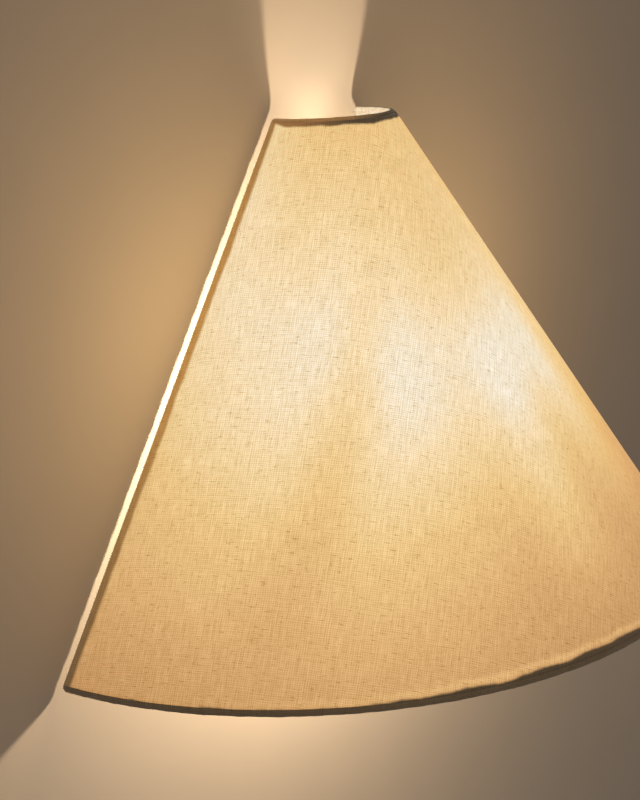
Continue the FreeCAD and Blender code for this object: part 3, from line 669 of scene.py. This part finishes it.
hems = [
    rim_hem("bottom_turned_edge", "bottom_hem", z_low_wire, z_bottom + hem_width,
            edge_slope + leave_turn - 2 * math.pi, 11),
    rim_hem("top_turned_edge", "top_hem", z_high_wire, z_bottom + shade_height - hem_width,
            edge_slope - leave_turn + 2 * math.pi, 21),
    side_hem("left_turned_edge", "left_hem", -1, 31),
    side_hem("right_turned_edge", "right_hem", 1, 41)]
turned_in = 12 * mm
pattern_edge = np.concatenate([pattern_feet, on_cloth(pattern_across, pattern_length)])
cut_area = float((pattern_length.mean() + 2 * turned_in)
                 * (foot_steps.sum() + head_steps.sum() + 4 * turned_in) / 2)


# ---------------------------------------------------------------- liner
# The stiff plastic sheet that the linen is stuck to. Lit from inside, its face is
# cream, brightest level with the filaments, and slightly cloudy.

def dress(material, *names):
    """Gives CAD pieces this material in place of their plain one."""
    for name in names:
        nodes[name].data.materials.clear()
        nodes[name].data.materials.append(material)


filament_middle = 57 * mm
lit_reach = 85 * mm
liner = Finish("liner_sheet")
height = liner.split()[2]
cloud = liner.noise(liner.places(), 55.0, 3.0) - 0.5
glow = ((height - filament_middle) / lit_reach).bell() * 0.55 + 0.30 + cloud * 0.14
weft_shadow = (liner.noise(liner.places((160, 160, 1250)), 1.0, 1.0) - 0.5) * 0.10
lit_colour = liner.ramp(glow + weft_shadow, [(0.0, (0.30, 0.19, 0.09)), (0.45, (0.52, 0.37, 0.20)),
                                             (0.80, (0.66, 0.50, 0.31)), (1.0, (0.70, 0.56, 0.38))])
dress(liner.surface(Base_Color=(0.62, 0.57, 0.46), Roughness=0.42, Emission_Color=lit_colour,
                    Emission_Strength=1.0), "shade_liner")


# ---------------------------------------------------------------- wire frame and strap
# The frame is drawn steel wire, spot welded and dipped in white enamel, which is thin in
# places and shows the steel. The flat strap that hangs it is plated steel.

def enamel(name, colour, worn_colour, wear):
    """Thin paint over steel: worn where a noise is over the wear level."""
    coat = Finish(name)
    worn = coat.noise(coat.places(), 260.0, 4.0, 0.6).step(wear, wear + 0.05)
    speckle = coat.noise(coat.places(), 1400.0, 2.0)
    tone = coat.mix(speckle, shaded(colour, 0.92), colour)
    return coat.surface(Base_Color=coat.mix(worn, tone, worn_colour), Metallic=worn * 0.8,
                        Roughness=0.34 + worn * 0.2 + speckle * 0.08,
                        Normal=coat.bump(speckle - worn * 0.6, 0.04 * mm, 0.6))


dress(enamel("frame_enamel", (0.72, 0.70, 0.65), (0.33, 0.30, 0.27), 0.66),
      "bottom_ring_wire", "top_ring_wire", "left_side_wire", "right_side_wire")


def plated(name, colour, dull_colour, gloss, grain):
    """Plated steel: soft spangle, fine drawn scratches along grain and dull patches."""
    plate = Finish(name)
    spangle = plate.node("ShaderNodeTexVoronoi", {}, {"Vector": plate.places(), "Scale": 420.0})
    dull = plate.noise(plate.places(), 90.0, 4.0, 0.6).step(0.50, 0.72)
    scratch = plate.noise(plate.places(grain), 1.0, 2.0)
    tone = plate.mix(dull, plate.mix(spangle * 0.6, colour, dull_colour), dull_colour)
    return plate.surface(Base_Color=tone, Metallic=1.0,
                         Roughness=gloss + dull * 0.18 + (scratch - 0.5) * 0.16,
                         Normal=plate.bump(scratch, 0.02 * mm, 0.5))


dress(plated("strap_plating", (0.66, 0.66, 0.65), (0.47, 0.46, 0.44), 0.34, (90, 900, 3000)),
      "shade_carrier_strap")


# ---------------------------------------------------------------- wall plate and dish
# The galvanised plate screws to the wall. The pressed steel dish over it is powder
# coated in warm white, with fine orange peel and a few chips at its rim.

dress(plated("galvanised", (0.63, 0.64, 0.65), (0.46, 0.47, 0.48), 0.38, (2500, 900, 120)),
      "wall_plate", "earth_lug")
dress(plated("screw_plating", (0.70, 0.69, 0.66), (0.50, 0.48, 0.44), 0.26, (1500, 1500, 1500)),
      "dish_screws", "shade_pegs", "peg_nuts", "earth_screw", "terminal_screws", "filament_supports")

chips_start = 43.5 * mm
chips_full = 46.5 * mm
coat = Finish("powder_coat")
x, _, z = coat.split()
from_middle = (x * x + z * z) ** 0.5
peel = coat.noise(coat.places(), 850.0, 2.0)
dust = coat.noise(coat.places(), 60.0, 4.0, 0.6)
chips = coat.noise(coat.places(), 420.0, 3.0, 0.6).step(0.62, 0.66)
chipped = from_middle.step(chips_start, chips_full) * chips
cream = coat.mix(dust.step(0.45, 0.75), (0.74, 0.71, 0.64), (0.64, 0.60, 0.52))
dress(coat.surface(Base_Color=coat.mix(chipped, cream, (0.35, 0.34, 0.33)), Metallic=chipped * 0.9,
                   Roughness=0.36 + peel * 0.10 + dust * 0.08,
                   Normal=coat.bump(peel - chipped, 0.05 * mm, 0.5)),
      "backplate_dish")


# ---------------------------------------------------------------- arm
# A bent brass tube with its collar and lock nut, satin polished round the tube, a little
# brown where hands and heat have dulled it.

brass = Finish("satin_brass")
tarnish = brass.noise(brass.places(), 120.0, 4.0, 0.62).step(0.48, 0.74)
polish = brass.noise(brass.places((2600, 2600, 300)), 1.0, 2.0)
dress(brass.surface(Base_Color=brass.mix(tarnish, (0.76, 0.55, 0.25), (0.42, 0.27, 0.11)), Metallic=1.0,
                    Roughness=0.24 + tarnish * 0.16 + (polish - 0.5) * 0.14,
                    Normal=brass.bump(polish, 0.02 * mm, 0.4)),
      "swan_arm", "arm_collar", "arm_lock_nut", "lampholder_terminals", "terminal_barrels", "centre_contact")


# ---------------------------------------------------------------- lampholder
# White thermoset cap and sleeve, with a ceramic insert. The socket shell is thin brass
# sheet rolled with the screw thread that the bulb runs in.

def moulded(name, colour, roughness, scale):
    """Moulded plastic or ceramic: even colour, faint flow marks and a fine surface."""
    mould = Finish(name)
    flow = mould.noise(mould.places((1, 1, 0.35)), 70.0, 3.0, 0.6)
    fine = mould.noise(mould.places(), scale, 2.0)
    return mould.surface(Base_Color=mould.mix(flow, shaded(colour, 0.88), colour),
                         Roughness=roughness + flow * 0.10, Normal=mould.bump(fine, 0.03 * mm, 0.35))


dress(moulded("holder_thermoset", (0.78, 0.75, 0.68), 0.30, 1600.0), "lampholder_cap", "lampholder_sleeve")
dress(moulded("insert_ceramic", (0.82, 0.80, 0.75), 0.18, 700.0), "lampholder_insert")

thread_pitch = 2.82 * mm
thread_depth = 0.32 * mm
round_columns = 96
thread_rows = 64
thread_runout = 0.125
plain_rows = 3
double_distance = 1e-6


def merge_doubles(piece):
    """Joins the points that meet at a pole or seam, and turns every face outwards."""
    shape = bmesh.new()
    shape.from_mesh(piece.data)
    bmesh.ops.remove_doubles(shape, verts=shape.verts, dist=double_distance)
    bmesh.ops.recalc_face_normals(shape, faces=shape.faces)
    shape.to_mesh(piece.data)
    shape.free()


def threaded(name, body, profile, foot_z, threaded_parts, node, material):
    """Turned solid on the bulb's axis with a rolled thread: the radius at each level, less a wave that moves
    on by one pitch a turn. profile lists (radius, level) corners, and threaded_parts the numbers, from 0, of
    the lines between them on which the thread runs, fading in over thread_runout of a line at each end."""
    radii, levels, waved = [], [], []
    for number, (start, end) in enumerate(zip(profile, profile[1:])):
        count = thread_rows if number in threaded_parts else plain_rows
        share = np.linspace(0, 1, count, endpoint=False)
        radii.append(start[0] + (end[0] - start[0]) * share)
        levels.append(start[1] + (end[1] - start[1]) * share)
        fade = np.clip(np.minimum(share, 1 - share) / thread_runout, 0, 1)
        waved.append(fade if number in threaded_parts else share * 0)
    radii, levels, waved = (np.concatenate(part + [[last]]) for part, last in
                            ((radii, profile[-1][0]), (levels, profile[-1][1]), (waved, 0)))
    angle = np.linspace(0, 2 * math.pi, round_columns, endpoint=False)
    wave = (np.cos(2 * math.pi * levels[:, None] / thread_pitch - angle) - 1) * thread_depth / 2
    radius = np.maximum(radii[:, None] + wave * waved[:, None], 0)
    points = np.stack([radius * np.cos(angle), bulb_axis_y + radius * np.sin(angle),
                       foot_z + levels[:, None] * np.ones_like(angle)], axis=-1)
    made = skin(name, points, body, closed=True)
    merge_doubles(made)
    made.data.materials.append(material)
    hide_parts(node)


insert_top = -3 * mm
socket_inside = 7.25 * mm
socket_wall = 0.5 * mm
socket_outside = socket_inside + socket_wall
socket_height = 25 * mm
flange_radius = socket_inside + 2.2 * mm
lip_height = 1.2 * mm
lip_flare = 0.8 * mm
threaded("socket_shell", "fixture",
         [(flange_radius, 0), (flange_radius, socket_wall), (socket_outside, socket_wall),
          (socket_outside, socket_height - lip_height), (socket_outside + lip_flare, socket_height),
          (socket_inside + lip_flare, socket_height), (socket_inside, socket_height - lip_height),
          (socket_inside, 0), (flange_radius, 0)],
         insert_top, (2,), "lampholder_shell", brass.material)


# ---------------------------------------------------------------- terminal block and leads
# The block is moulded in white plastic and sits in the dish. The leads that run from it
# are covered in soft plastic: brown, blue, and green with yellow stripes.

dress(moulded("block_polyamide", (0.76, 0.77, 0.74), 0.40, 1100.0), "terminal_block")
stripe_spacing = 3.4 * mm


def sheath(name, colour, stripe=None):
    """Soft lead covering, with a dusty bloom and, on the earth lead, slanting stripes."""
    cover_finish = Finish(name)
    bloom = cover_finish.noise(cover_finish.places(), 300.0, 3.0)
    tone = cover_finish.mix(bloom, shaded(colour, 0.8), shaded(colour, 1.15))
    if stripe:
        slant = sum(cover_finish.split()) * (2 * math.pi / stripe_spacing)
        tone = cover_finish.mix(slant.sine().step(-0.15, 0.15), tone, stripe)
    return cover_finish.surface(Base_Color=tone, Roughness=0.44 + bloom * 0.10)


dress(sheath("lead_brown_sheath", (0.16, 0.062, 0.028)), "live_lead")
dress(sheath("lead_blue_sheath", (0.02, 0.11, 0.36)), "neutral_lead")
dress(sheath("lead_earth_sheath", (0.03, 0.24, 0.06), (0.70, 0.56, 0.04)), "earth_lead")


# ---------------------------------------------------------------- bulb
# A small-screw candle bulb in clear glass with four upright filament rods. Its cap is
# nickel plated with a rolled thread, and black glass holds the tip contact.

nickel = plated("cap_nickel", (0.70, 0.68, 0.63), (0.52, 0.49, 0.43), 0.20, (300, 300, 4000))
dress(nickel, "bulb_tip_contact")
dress(moulded("black_glass", (0.016, 0.015, 0.017), 0.10, 500.0), "bulb_insulator")

contact_level = 2 * mm
cap_radius = 6.9 * mm
cap_foot = 4 * mm
foot_width = 0.8 * mm
foot_height = 1.5 * mm
cap_top = 23 * mm
collar_rise = 2 * mm
collar = cap_radius + 1.4 * mm
collar_inside = collar - 0.5 * mm
collar_top = cap_top + 2.5 * mm
threaded("threaded_bulb_cap", "bulb",
         [(0, cap_foot), (cap_radius - foot_width, cap_foot), (cap_radius, cap_foot + foot_height),
          (cap_radius, cap_top - collar_rise), (collar, cap_top), (collar, collar_top),
          (collar_inside, collar_top), (collar_inside, cap_top), (0, cap_top)],
         contact_level, (2,), "bulb_screw_cap", nickel)

glass = Finish("clear_glass")
facing = glass.node("ShaderNodeFresnel", {}, {"IOR": 1.45})
haze = glass.noise(glass.places(), 90.0, 3.0).step(0.45, 0.85) * 0.02
clear = glass.node("ShaderNodeBsdfTransparent", {}, {"Color": (0.985, 0.975, 0.955, 1.0)})
gloss = glass.node("ShaderNodeBsdfPrincipled", {}, {"Base Color": (0.9, 0.9, 0.9, 1.0), "Roughness": 0.04})
clear_glass = glass.show(glass.node("ShaderNodeMixShader", {}, {0: facing + haze, 1: clear, 2: gloss}))
glass_radius = 17.5 * mm
belly_level = 46 * mm
bulb_length = 98 * mm
glass_wall = 0.8 * mm
neck_level = cap_top + 0.1 * mm
neck_radius = collar - 0.55 * mm
shoulder_level = cap_top + 2.7 * mm
shoulder_radius = collar + 0.4 * mm
shoulder_rise = 0.6 * mm
crown_radius = 2.4 * mm
crown_height = 1.4 * mm
tip_radius = crown_radius * 0.6
tip_height = 0.5 * mm


def belly(end_radius, end_level, inset, count=40):
    """(radius, level) along the arc from the glass's widest level to an end, drawn in by an inset."""
    rise = end_level - belly_level
    span = glass_radius - end_radius
    curve = (span ** 2 + rise ** 2) / (2 * span)
    turn = np.linspace(0, math.asin(rise / curve), count)
    return np.stack([glass_radius - curve + (curve - inset) * np.cos(turn),
                     belly_level + (curve - inset) * np.sin(turn)], axis=1)


def glass_line(inset):
    """Half section of the candle glass from its neck to its crown."""
    foot = np.array([(neck_radius - inset, neck_level), (neck_radius - inset, shoulder_level)])
    lower = belly(shoulder_radius, shoulder_level + shoulder_rise, inset)[:0:-1]
    upper = belly(crown_radius, bulb_length - crown_height, inset)
    crown = np.array([(tip_radius, bulb_length - tip_height - inset), (0.0, bulb_length - inset)])
    return np.concatenate([foot, lower, upper, crown])


section = np.concatenate([glass_line(0), glass_line(glass_wall)[::-1], glass_line(0)[:1]])
angle = np.linspace(0, 2 * math.pi, round_columns, endpoint=False)
envelope = skin("candle_glass", np.stack([
    section[:, :1] * np.cos(angle), bulb_axis_y + section[:, :1] * np.sin(angle),
    contact_level + section[:, 1:] * np.ones_like(angle)], axis=-1), "bulb", closed=True)
merge_doubles(envelope)
envelope.data.materials.append(clear_glass)
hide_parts("bulb_glass")
dress(clear_glass, "bulb_glass_stem")

phosphor = Finish("filament_phosphor")
grain = phosphor.noise(phosphor.places(), 2400.0, 2.0)
dress(phosphor.surface(Base_Color=phosphor.mix(grain, (0.80, 0.52, 0.12), (0.90, 0.66, 0.22)), Roughness=0.6,
                       Emission_Color=phosphor.mix(grain, (1.0, 0.60, 0.24), (1.0, 0.72, 0.36)),
                       Emission_Strength=3.0), "bulb_filaments")


# ---------------------------------------------------------------- what shades the bulb's light
# Of all the pieces, only the shade and its wire frame throw shadows on the wall in the
# light of the bulb and of the shade's narrow top.

frame_wires = ("bottom_ring_wire", "top_ring_wire", "left_side_wire", "right_side_wire")
for piece in [cover, *hems, nodes["shade_liner"]] + [nodes[wire] for wire in frame_wires]:
    shades_bulb.objects.link(piece)

bpy.context.view_layer.update()
